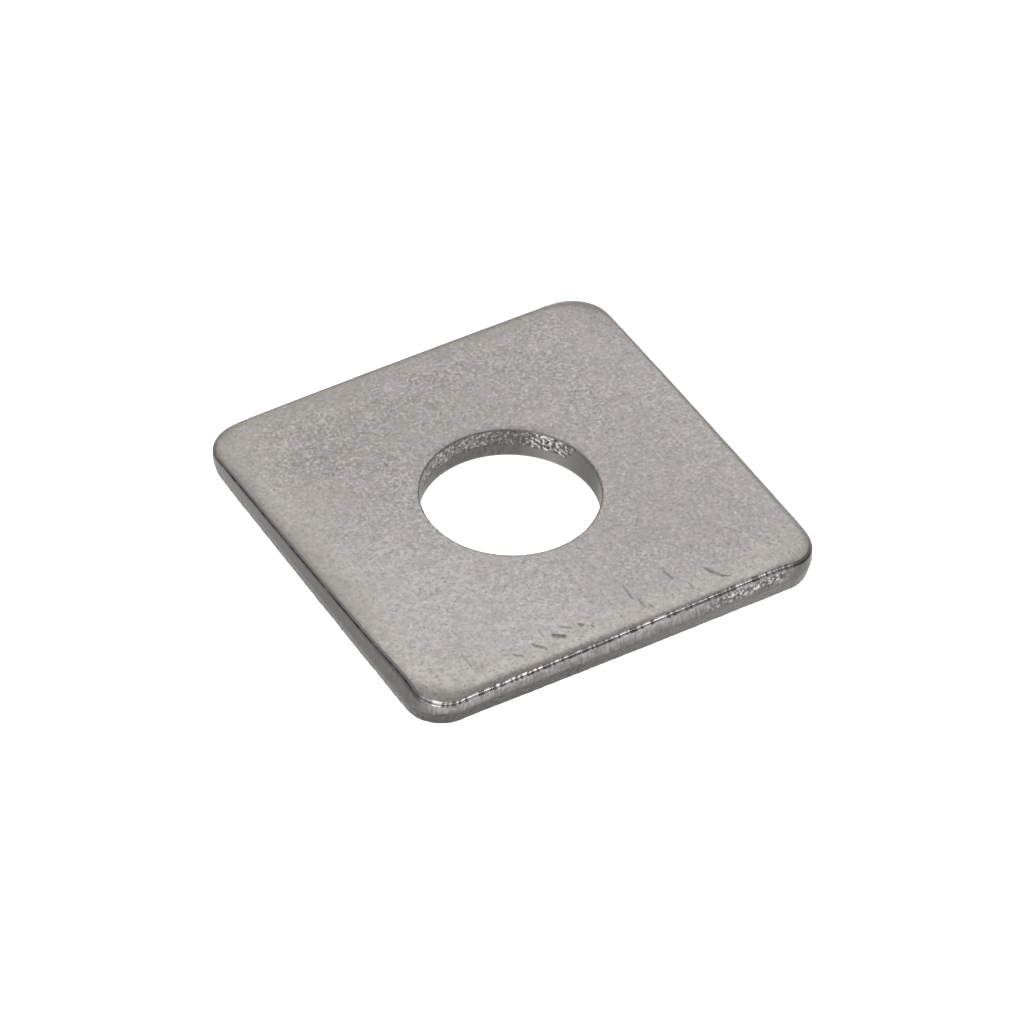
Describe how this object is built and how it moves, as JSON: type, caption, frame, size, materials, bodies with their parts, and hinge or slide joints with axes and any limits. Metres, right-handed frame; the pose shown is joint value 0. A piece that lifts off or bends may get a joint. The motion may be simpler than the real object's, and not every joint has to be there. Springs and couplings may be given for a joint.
{
  "type": "square plate washer",
  "caption": "Square stamped steel plate washer with rounded corners, rolled upper edge and a central round bore.",
  "frame": {"origin": "centre of the bore on the plate's underside, which is also the centre of the plate", "axes": "+Z along the bore, from the flat underside to the rolled upper face; X and Y along the plate's sides"},
  "size_m": [0.045, 0.045, 0.0035],
  "materials": {
    "stainless_plate": "tumbled stainless steel, matt grey face, burnished and torn sheared edges"
  },
  "bodies": {
    "root": {"square_washer": "stainless_plate"}
  },
  "joints": []
}
